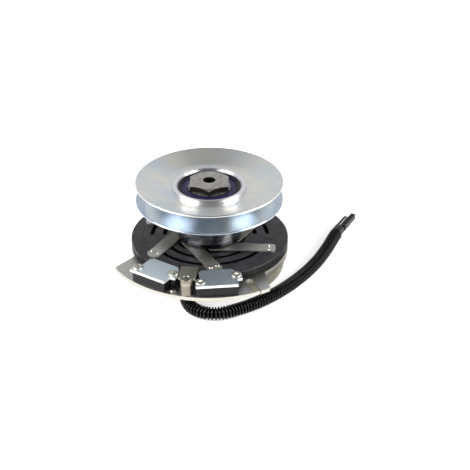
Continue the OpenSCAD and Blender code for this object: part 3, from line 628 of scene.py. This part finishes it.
studio = bpy.data.worlds.new("studio")
bpy.context.scene.world = studio
studio.use_nodes = True
tree = studio.node_tree
tree.nodes.clear()
direction = add_node(tree, "TexCoord").outputs["Generated"]
parts = add_node(tree, "SeparateXYZ", sockets={0: direction})
depth = add_node(tree, "MapRange", {"interpolation_type": "SMOOTHSTEP"}, {
    "Value": parts.outputs["Y"], "From Min": FRONT_TO_BACK[0], "From Max": FRONT_TO_BACK[1],
    "To Min": WORLD_FRONT, "To Max": WORLD_BACK})
height = add_node(tree, "MapRange", {"interpolation_type": "SMOOTHSTEP"}, {
    "Value": parts.outputs["Z"], "From Min": WALL_TO_ZENITH[0], "From Max": WALL_TO_ZENITH[1],
    "To Min": 1, "To Max": WORLD_ZENITH})
level = add_node(tree, "Math", {"operation": "MULTIPLY"}, {
    0: depth.outputs[0], 1: height.outputs[0]})
room = add_node(tree, "Background", sockets={
    "Color": hex_colour("#F4F7FB"), "Strength": level.outputs[0]})
white = add_node(tree, "Background", sockets={"Color": hex_colour("#FFFFFF"), "Strength": 1})
rays = add_node(tree, "LightPath")
world_mix = add_node(tree, "MixShader", sockets={
    0: rays.outputs["Is Camera Ray"], 1: room.outputs[0], 2: white.outputs[0]})
add_node(tree, "OutputWorld", sockets={"Surface": world_mix.outputs[0]})
print("world:", WORLD_BACK, "behind,", WORLD_FRONT, "in front,", WORLD_ZENITH, "overhead")

# %% Two soft boxes
# name: place in metres, width and height in metres, power in watts
SOFT_BOXES = {
    "left box": ((-1.3, -0.66, 0.95), (1.5, 0.6), 30),
    "right box": ((1.41, -0.51, 0.88), (1.3, 0.6), 26),
}
for name, (place, size, power) in SOFT_BOXES.items():
    deselect()
    facing = (AIM - Vector(place)).to_track_quat("-Z", "Y").to_euler()
    bpy.ops.object.light_add(type="AREA", location=place, rotation=facing)
    lamp = bpy.context.object
    lamp.name = name
    lamp.data.shape = "RECTANGLE"
    lamp.data.size, lamp.data.size_y = size
    lamp.data.energy = power
bpy.context.scene.view_settings.view_transform = "Standard"
print("lamps:", len(SOFT_BOXES))

# %% [markdown]
# ## Spun and plated flanges
# The two flanges are spun from sheet steel over a former and then zinc plated. Spinning leaves
# fine rings that spread a highlight across them, so the shader is anisotropic round the axis. The
# clear passivation on the zinc drifts between a warm and a cool tint. An image could hold the
# rings, but noise over the distance from the shaft needs no unwrapping and stays sharp.

# %% Marks that run round the shaft
QUARTER_TURN = 0.25     # the highlight spreads across the rings, and not along them


def from_shaft(tree, in_mm):
    """The distance from the shaft's axis in mm, which turned, spun and ground marks follow."""
    flat = add_node(tree, "VectorMath", {"operation": "MULTIPLY"}, {0: in_mm, 1: (1, 1, 0)})
    length = add_node(tree, "VectorMath", {"operation": "LENGTH"}, {0: flat.outputs[0]})
    return length.outputs["Value"]


def surface_marks(tree, shader, dulled_by, gloss, raised_by, strength, depth_mm):
    """Lets one pattern move the roughness between two values, and another raise the surface."""
    rough = add_node(tree, "MapRange", sockets={
        "Value": dulled_by, "To Min": gloss[0], "To Max": gloss[1]})
    tree.links.new(rough.outputs[0], shader.inputs["Roughness"])
    bump = add_node(tree, "Bump", sockets={
        "Height": raised_by, "Strength": strength, "Distance": depth_mm * MM})
    tree.links.new(bump.outputs[0], shader.inputs["Normal"])


def spread_round_shaft(tree, shader, amount):
    """Spreads highlights across marks that run round the shaft."""
    shader.inputs["Anisotropic"].default_value = amount
    shader.inputs["Anisotropic Rotation"].default_value = QUARTER_TURN
    tangent = add_node(tree, "Tangent", {"direction_type": "RADIAL", "axis": "Z"})
    tree.links.new(tangent.outputs[0], shader.inputs["Tangent"])


print("rings follow the distance from the shaft's axis")

# %% Zinc on spun steel
SPIN_RING_MM = 0.9      # real rings are about 0.3 mm, drawn coarser so that they show
CLOUD_MM = 24           # how far apart the warm and cool clouds of the passivation are
CLOUD_LIMITS = (0.35, 0.65)     # noise below the first is all warm, above the second all cool


def spun_zinc(name, warm, cool, roughness, spread):
    """Zinc plated spun steel, with rings round the axis and a cloudy tint."""
    material, tree, shader, in_mm = begin_finish(name, warm, 1, roughness)
    rings = add_node(tree, "TexNoise", {"noise_dimensions": "1D"}, {
        "W": from_shaft(tree, in_mm), "Scale": 1 / SPIN_RING_MM, "Detail": 3, "Roughness": 0.7})
    clouds = add_node(tree, "TexNoise", sockets={
        "Vector": in_mm, "Scale": 1 / CLOUD_MM, "Detail": 4})
    amount = add_node(tree, "MapRange", sockets={
        "Value": clouds.outputs["Fac"],
        "From Min": CLOUD_LIMITS[0], "From Max": CLOUD_LIMITS[1]})
    tint = add_node(tree, "Mix", {"data_type": "RGBA"}, {
        "Factor": amount.outputs[0], MIX_A: hex_colour(warm), MIX_B: hex_colour(cool)})
    tree.links.new(tint.outputs[MIXED], shader.inputs["Base Color"])
    rings = rings.outputs["Fac"]
    surface_marks(tree, shader, dulled_by=rings, gloss=(roughness - 0.06, roughness + 0.08),
                  raised_by=rings, strength=0.12, depth_mm=0.02)
    spread_round_shaft(tree, shader, spread)
    return material


# the dish is satin and warm, and the groove is smoother where the belt runs; the groove's bluer
# tint is a painted reflection
zinc_dish = spun_zinc("zinc_plated_spun_steel_dish", "#E2DFD5", "#D0D6D9", 0.34, 0.55)
zinc_groove = spun_zinc("zinc_plated_spun_steel_groove", "#B0BBC9", "#BFC8D2", 0.15, 0.2)
use_finish(zinc_dish, "upper_flange")
use_finish(zinc_groove, "lower_flange")

# %% [markdown]
# ## The buffed hub
# The hub is turned and then buffed: a mirror with faint rings, which pulls each lamp into a
# vertical streak on the neck. It is not the same all over. The lip is duller. The neck is painted
# a darker blue grey, a painted reflection of the dark armature below it, the foot is painted
# nearly black as shade, and inside the lip the well is painted dark as shade. Each zone could be
# a material of its own, but then every limit would be a hard line. Here the height on the shaft
# gives each zone a mask that fades, and the masks mix gloss and tint.

# %% Zones of the hub
# each pair is where a zone starts to fade, and where the fade ends
NECK_TOP_MM = (64, 70)
LIP_START_MM = (74, 78)
FOOT_TOP_MM = (35.2, 35.5)
WELL_RADIUS_MM = (28.6, 29.6)
WELL_FLOOR_MM = 79

polished, tree, shader, in_mm = begin_finish("buffed_turned_steel", "#B8BAC0", 1, 0.2)
hub_height = add_node(tree, "SeparateXYZ", sockets={0: in_mm}).outputs["Z"]
hub_radius = from_shaft(tree, in_mm)
# name: what is measured, its two limits, the mask at each of them, and how it fades
HUB_ZONES = {
    "neck": (hub_height, NECK_TOP_MM, (1, 0), "SMOOTHSTEP"),
    "lip": (hub_height, LIP_START_MM, (0, 1), "SMOOTHSTEP"),
    "foot": (hub_height, FOOT_TOP_MM, (1, 0), "LINEAR"),
    "well": (hub_radius, WELL_RADIUS_MM, (1, 0), "SMOOTHSTEP"),
}
zones = {}
for name, (measure, limits, mask, fade) in HUB_ZONES.items():
    zones[name] = add_node(tree, "MapRange", {"interpolation_type": fade}, {
        "Value": measure, "From Min": limits[0], "From Max": limits[1],
        "To Min": mask[0], "To Max": mask[1]}).outputs[0]
# the well inside the hub's lip is painted dark as shade
above = add_node(tree, "Math", {"operation": "GREATER_THAN"}, {0: hub_height, 1: WELL_FLOOR_MM})
well_shade = add_node(tree, "Math", {"operation": "MULTIPLY"}, {
    0: zones["well"], 1: above.outputs[0]})
print("zones of the hub:", *zones)

# %% Gloss of the hub
POLISH_LINES_PER_MM = 2.2       # real ones are finer, drawn coarser so that they show
POLISH_GLOSS = (0.08, 0.18)     # roughness in and between the lines
DULLER = {"neck": 0.06, "lip": 0.24}

lines = add_node(tree, "TexNoise", {"noise_dimensions": "1D"}, {
    "W": hub_height, "Scale": POLISH_LINES_PER_MM, "Detail": 4, "Roughness": 0.7})
rough = add_node(tree, "MapRange", sockets={
    "Value": lines.outputs["Fac"], "To Min": POLISH_GLOSS[0], "To Max": POLISH_GLOSS[1]})
for name, amount in DULLER.items():
    rough = add_node(tree, "Math", {"operation": "MULTIPLY_ADD"}, {
        0: zones[name], 1: amount, 2: rough.outputs[0]})
tree.links.new(rough.outputs[0], shader.inputs["Roughness"])
bump = add_node(tree, "Bump", sockets={
    "Height": lines.outputs["Fac"], "Strength": 0.1, "Distance": 0.02 * MM})
tree.links.new(bump.outputs[0], shader.inputs["Normal"])
spread_round_shaft(tree, shader, 0.8)
print("roughness of the hub:", POLISH_GLOSS, "and duller by", DULLER)

# %% Tint of the hub
# each zone's tint goes over the one before it: a blue grey neck as a painted reflection, a dark
# foot and a dark well as painted shade
tint = hex_colour("#E4E2E4")
for mask, colour in ((zones["neck"], "#8D929B"), (zones["foot"], "#3A383A"),
                     (well_shade.outputs[0], "#1E1C22")):
    tint = add_node(tree, "Mix", {"data_type": "RGBA"}, {
        "Factor": mask, MIX_A: tint, MIX_B: hex_colour(colour)}).outputs[MIXED]
tree.links.new(tint, shader.inputs["Base Color"])
use_finish(polished, "pulley_hub")

# %% [markdown]
# ## Machined and ground steel
# The arbor's nose is only machined, so it is greyer and duller than the hub, with facing marks
# round its hole. Its sides, and the sides of every piece here, are painted darker as shade. The
# spacer and the races are ground. One function serves them all, because they differ in ring
# width, colour and gloss alone.

# %% Which way a face looks
def upward_part(tree):
    """How far a face looks up: 1 for a level face, 0 for a wall, -1 for one that looks down."""
    normal = add_node(tree, "NewGeometry").outputs["True Normal"]
    return add_node(tree, "SeparateXYZ", sockets={0: normal}).outputs["Z"]


print("a level face reads 1, a wall 0")

# %% Machined and ground steel
MOTTLE_MM = 10 / 3              # size of the marks that handling leaves
MOTTLE_LIMITS = (0.38, 0.68)
SIDE_SHADE_LIMITS = (0.7, 0.4)          # a face looks up above the first, and is a side in painted shade below the second


def machined_metal(name, colour, dark, roughness, ring_mm, side=None):
    """Turned metal: facing rings round the axis, handling marks, and sides in painted shade."""
    material, tree, shader, in_mm = begin_finish(name, colour, 1, roughness)
    rings = add_node(tree, "TexNoise", {"noise_dimensions": "1D"}, {
        "W": from_shaft(tree, in_mm), "Scale": 1 / ring_mm, "Detail": 2})
    mottle = add_node(tree, "TexNoise", sockets={
        "Vector": in_mm, "Scale": 1 / MOTTLE_MM, "Detail": 3, "Roughness": 0.5})
    amount = add_node(tree, "MapRange", sockets={
        "Value": mottle.outputs["Fac"],
        "From Min": MOTTLE_LIMITS[0], "From Max": MOTTLE_LIMITS[1]})
    tint = add_node(tree, "Mix", {"data_type": "RGBA"}, {
        "Factor": amount.outputs[0], MIX_A: hex_colour(colour), MIX_B: hex_colour(dark)})
    # the sides take a darker colour: painted shade
    side_shade = add_node(tree, "MapRange", sockets={
        "Value": upward_part(tree), "From Min": SIDE_SHADE_LIMITS[0], "From Max": SIDE_SHADE_LIMITS[1]})
    tint = add_node(tree, "Mix", {"data_type": "RGBA"}, {
        "Factor": side_shade.outputs[0],
        MIX_A: tint.outputs[MIXED], MIX_B: hex_colour(side or dark)})
    tree.links.new(tint.outputs[MIXED], shader.inputs["Base Color"])
    surface_marks(tree, shader, dulled_by=mottle.outputs["Fac"],
                  gloss=(roughness - 0.08, roughness + 0.1),
                  raised_by=rings.outputs["Fac"], strength=0.15, depth_mm=0.02)
    return material


# turned: warm grey with its sides darkest in painted shade; ground: cool and smooth; the outer
# race: dark as painted shade under the hub's lip, with a gloss
turned_steel = machined_metal("turned_carbon_steel", "#B4B0A9", "#9C9892", 0.4, 0.8, "#4A4642")
ground_steel = machined_metal("ground_bearing_steel", "#8A8C91", "#6E7075", 0.26, 0.3)
shaded_race_steel = machined_metal("shaded_bearing_steel", "#2A282E", "#1C1A20", 0.3, 0.3)
# the outer race under the hub's lip is painted dark as shade
use_finish(shaded_race_steel, "pulley_bearing_outer")
use_finish(turned_steel, "arbor", "bearing_spacer")
use_finish(ground_steel, "pulley_bearing_inner", "field_bearing_inner", "field_bearing_outer",
           "pulley_bearing_balls", "field_bearing_balls", "rotor_snap_ring")

# %% Wire and brass
# drawn copper under a clear enamel is orange and glossy, and stamped brass a paler yellow
# these too darken their sides as painted shade
copper = machined_metal("enamelled_copper_wire", "#B87333", "#8F5524", 0.3, 0.8)
brass = machined_metal("stamped_brass", "#C9A24B", "#A98436", 0.3, 0.5)
use_finish(copper, "coil_winding")
use_finish(brass, "connector_terminals")

# %% [markdown]
# ## Black phosphate on the armature and rotor
# These faces rub on each other, so they are not plated but phosphated: a thin dark conversion
# coat, slightly purple, that lets a little of the steel shine through along scuffs and edges. It
# could be plain dark paint, but a half metallic shader keeps the sheen of steel under the coat.

# %% Phosphated steel
GRIND_LINES_PER_MM = 0.9        # real grinding is finer, drawn coarser so that it shows
SCUFFS_PER_MM = 0.09            # a scuffed patch is about 11 mm across
WORN_LIMITS = (0.2, 0.42)
WALL_SHADE_LIMITS = (0.6, 0.4)        # from a level face to a wall, which is painted dark as shade


def phosphated(name, colour, wear_and_shade, cut, roughness):
    """Dark phosphated steel with fine grinding rings, worn patches, and walls in painted shade."""
    material, tree, shader, in_mm = begin_finish(name, colour, 0.55, roughness)
    rings = add_node(tree, "TexNoise", {"noise_dimensions": "1D"}, {
        "W": from_shaft(tree, in_mm), "Scale": GRIND_LINES_PER_MM,
        "Detail": 3, "Roughness": 0.7})
    wear = add_node(tree, "TexNoise", sockets={
        "Vector": in_mm, "Scale": SCUFFS_PER_MM, "Detail": 6, "Roughness": 0.62})
    both = add_node(tree, "Math", {"operation": "MULTIPLY"}, {
        0: rings.outputs["Fac"], 1: wear.outputs["Fac"]})
    amount = add_node(tree, "MapRange", sockets={
        "Value": both.outputs[0], "From Min": WORN_LIMITS[0], "From Max": WORN_LIMITS[1]})
    tint = add_node(tree, "Mix", {"data_type": "RGBA"}, {
        "Factor": amount.outputs[0], MIX_A: hex_colour(colour), MIX_B: hex_colour(wear_and_shade)})
    # walls take a near black colour: painted shade
    wall_shade_mask = add_node(tree, "MapRange", sockets={
        "Value": upward_part(tree), "From Min": WALL_SHADE_LIMITS[0], "From Max": WALL_SHADE_LIMITS[1]})
    tint = add_node(tree, "Mix", {"data_type": "RGBA"}, {
        "Factor": wall_shade_mask.outputs[0], MIX_A: tint.outputs[MIXED], MIX_B: hex_colour(cut)})
    tree.links.new(tint.outputs[MIXED], shader.inputs["Base Color"])
    surface_marks(tree, shader, dulled_by=wear.outputs["Fac"],
                  gloss=(roughness + 0.1, roughness - 0.08),
                  raised_by=rings.outputs["Fac"], strength=0.15, depth_mm=0.03)
    return material


# the armature shows scuffs of steel, and its walls are painted shade; the rotor under it is
# phosphated too, and painted almost black as the shade under the armature
black_armature = phosphated(
    "phosphated_armature_steel", "#2D2A2C", "#4C4649", "#0A090A", 0.44)
shaded_rotor = phosphated("phosphated_rotor_steel_in_shade", "#0E0D0F", "#171619", "#0C0B0D", 0.5)
use_finish(black_armature, "armature")
use_finish(shaded_rotor, "rotor")

# %% [markdown]
# ## Rolled, stamped and plated sheet
# The springs are cut from cold rolled spring strip. The bracket, tab, plates, post and shell are
# mild steel, zinc plated and passivated yellow or blue. Rolling leaves a grain along one
# direction. The edges take a colour of their own: a painted highlight, brighter than the face,
# and on the rivets a painted shade, darker than the face. An edge could be a second material on
# its own faces. Reading which way each face looks finds them all at once.

# %% Rolled and plated strip
PAINTED_EDGE_LIMITS = (0.5, 0.3)        # from a level face to an edge, which takes a painted highlight
GRAIN_SHADE = (0.8, 1.15)       # how far the grain darkens and lightens the colour
PULLEY_SHADE_MM = (36, 62)             # near the shaft, under the pulley, the springs are darker as painted shade, and plain further out


def rolled_sheet(name, face, painted_edge, grain, roughness, metallic=1.0, shade_near_shaft=None):
    """Rolled steel, with its grain in lines per mm along x, y and z, edges tinted as painted light,
    and, where given, painted shade near the shaft.
    """
    material, tree, shader, in_mm = begin_finish(name, face, metallic, roughness)
    along = add_node(tree, "Mapping", sockets={"Vector": in_mm, "Scale": grain})
    fibres = add_node(tree, "TexNoise", sockets={
        "Vector": along.outputs[0], "Scale": 1, "Detail": 4, "Roughness": 0.6})
    level = add_node(tree, "Math", {"operation": "ABSOLUTE"}, {0: upward_part(tree)})
    painted_edge_mask = add_node(tree, "MapRange", sockets={
        "Value": level.outputs[0], "From Min": PAINTED_EDGE_LIMITS[0], "From Max": PAINTED_EDGE_LIMITS[1]})
    grey = add_node(tree, "MapRange", sockets={
        "Value": fibres.outputs["Fac"], "To Min": GRAIN_SHADE[0], "To Max": GRAIN_SHADE[1]})
    # towards the shaft the colour fades into a painted shade
    far = add_node(tree, "MapRange", {"interpolation_type": "SMOOTHSTEP"}, {
        "Value": from_shaft(tree, in_mm), "From Min": PULLEY_SHADE_MM[0], "From Max": PULLEY_SHADE_MM[1]})
    wear_and_shade = add_node(tree, "Mix", {"data_type": "RGBA"}, {
        "Factor": far.outputs[0], MIX_A: hex_colour(shade_near_shaft or face), MIX_B: hex_colour(face)})
    shade = add_node(tree, "VectorMath", {"operation": "SCALE"}, {
        0: wear_and_shade.outputs[MIXED], "Scale": grey.outputs[0]})
    # edges take their own colour: painted light
    tint = add_node(tree, "Mix", {"data_type": "RGBA"}, {
        "Factor": painted_edge_mask.outputs[0], MIX_A: shade.outputs[0], MIX_B: hex_colour(painted_edge)})
    tree.links.new(tint.outputs[MIXED], shader.inputs["Base Color"])
    fibres = fibres.outputs["Fac"]
    surface_marks(tree, shader, dulled_by=fibres, gloss=(roughness - 0.08, roughness + 0.1),
                  raised_by=fibres, strength=0.18, depth_mm=0.04)
    return material


# bare spring strip: the palest piece, with long lines, edges in painted highlight, and painted
# shade near the shaft under the pulley
spring_strip = rolled_sheet("rolled_spring_steel", "#D0CCC1", "#EDEBE4", (0.3, 4, 1), 0.44,
                            shade_near_shaft="#7C776E")
for number in range(1, 7):
    use_finish(spring_strip, f"leaf_spring_{number}")

# %% Plated sheet of the field and the brake
# yellow passivation: a dull straw tint, fine on the bracket and coarse on the drawn shell
bracket_zinc = rolled_sheet("yellowed_zinc_bracket", "#C4C2BB", "#C9C6BC", (0.12, 0.9, 1), 0.42)
shell_zinc = rolled_sheet("yellowed_zinc_shell", "#9C978A", "#A19C8E", (0.2, 0.2, 2.5), 0.5)
# blue passivation: a cool satin face between very bright edges of painted highlight; the right
# plate is a darker copy, as painted shade
plate_zinc = rolled_sheet("blue_zinc_brake_plate", "#BFC9CC", "#FAFBFB", (0.5, 2.2, 1), 0.48, 0.7)
shaded_plate_zinc = rolled_sheet("shaded_zinc_brake_plate", "#969FA4", "#F4F6F6", (0.5, 2.2, 1), 0.48, 0.7)
use_finish(bracket_zinc, "field_bracket")
use_finish(shell_zinc, "field_shell")
use_finish(plate_zinc, "brake_plate_left")
use_finish(shaded_plate_zinc, "brake_plate_right")

# %% Plated post, tab, rivets and screws
# the post and tab are darker straw, and the rivets and screws are small and bright; the screws'
# edges are a painted highlight and the rivets' edges a painted shade
post_zinc = rolled_sheet("yellowed_zinc_post", "#8B8778", "#8F8B7D", (0.5, 0.5, 2), 0.42)
stop_zinc = rolled_sheet("yellowed_zinc_stop", "#A9A492", "#B0AB99", (0.5, 0.5, 2), 0.4)
bright_rivet = rolled_sheet("zinc_plated_rivet", "#D2D0C8", "#C4C2B8", (0.6, 0.6, 0.6), 0.3)
screw_zinc = rolled_sheet("zinc_plated_screw", "#BDBAAF", "#DAD8D0", (0.6, 0.6, 0.6), 0.34)
use_finish(post_zinc, "stop_post", "post_bolt")
use_finish(stop_zinc, "stop_tab")
use_finish(bright_rivet, "hub_rivets", "armature_rivets", "bracket_rivet")
use_finish(screw_zinc, "brake_screws")

# %% [markdown]
# ## Magnets, rubber and plastics
# Ferrite magnets are sintered and ground, so they are near black with lines of grinding. The
# seals are moulded nitrile rubber, dyed violet. Loom and connector are moulded plastics: the
# loom has the gloss of polyethylene, the connector the dull skin of glass filled nylon. A flat
# colour would look like paint, so one function adds a fine grain to colour, gloss and height.

# %% Moulded and sintered finishes
SKIN_SHADE = (0.75, 1.25)       # how far the grain darkens and lightens the colour


def moulded(name, colour, roughness, grain_mm, bump_mm, stretch=(1, 1, 1), specular=0.5):
    """A moulded or sintered skin: one colour with a fine grain in its gloss and its height."""
    material, tree, shader, in_mm = begin_finish(name, colour, 0, roughness)
    shader.inputs["Specular IOR Level"].default_value = specular
    along = add_node(tree, "Mapping", sockets={"Vector": in_mm, "Scale": stretch})
    grain = add_node(tree, "TexNoise", sockets={
        "Vector": along.outputs[0], "Scale": 1 / grain_mm, "Detail": 4, "Roughness": 0.6})
    shade = add_node(tree, "MapRange", sockets={
        "Value": grain.outputs["Fac"], "To Min": SKIN_SHADE[0], "To Max": SKIN_SHADE[1]})
    tint = add_node(tree, "VectorMath", {"operation": "SCALE"}, {
        0: hex_colour(colour)[:3], "Scale": shade.outputs[0]})
    tree.links.new(tint.outputs[0], shader.inputs["Base Color"])
    grain = grain.outputs["Fac"]
    surface_marks(tree, shader, dulled_by=grain, gloss=(roughness - 0.08, roughness + 0.08),
                  raised_by=grain, strength=0.5, depth_mm=bump_mm)
    return material


# ferrite: matt and coarse; violet rubber: almost black until light falls along it
ferrite = moulded("ground_ferrite_magnet", "#131216", 0.5, 1.2, 0.03, (1, 1, 4), 0.35)
violet_rubber = moulded("violet_nitrile_rubber", "#1F1444", 0.45, 0.8, 0.01, specular=0.35)
black_rubber = moulded("black_nitrile_rubber", "#1C1C1E", 0.5, 0.6, 0.01)
upper_seal.data.materials.append(violet_rubber)
lower_seal.data.materials.append(violet_rubber)
use_finish(ferrite, "brake_magnet_left", "brake_magnet_right")
use_finish(violet_rubber, "upper_seal", "lower_seal")
use_finish(black_rubber, "field_bearing_seals", "wire_grommet")

# %% Plastics of the loom and the connector
# polyethylene: small sharp highlights on the crests, and valleys in painted shade that do not shine
loom_plastic = moulded("black_polyethylene", "#030303", 0.2, 1.5, 0.004, specular=0.3)
loom_valley_shade = moulded("shaded_polyethylene_valleys", "#020202", 0.9, 1.5, 0.006, specular=0.05)
# nylon: a soft dull skin; acetal: pale and waxy
nylon = moulded("glass_filled_nylon", "#0E0E10", 0.42, 0.7, 0.015, specular=0.35)
acetal = moulded("grey_acetal_lock", "#C4C4C6", 0.4, 1, 0.01)
loom.data.materials.append(loom_plastic)
loom.data.materials.append(loom_valley_shade)
connector.data.materials.append(nylon)
lock.data.materials.append(acetal)
use_finish(loom_plastic, "loom")
use_finish(nylon, "coil_bobbin", "connector_housing")

# %% Finishes inside the field
# potting: a grey gloss; insulation: a soft red skin; friction lining: brown and rough
potting = moulded("epoxy_potting", "#3B3A36", 0.3, 3, 0.02)
insulation = moulded("red_pvc_insulation", "#8A1F1F", 0.35, 1, 0.01)
lining = moulded("friction_lining", "#5A4632", 0.85, 0.6, 0.05)
use_finish(potting, "coil_potting")
use_finish(insulation, "coil_leads")
use_finish(lining, "friction_ring")
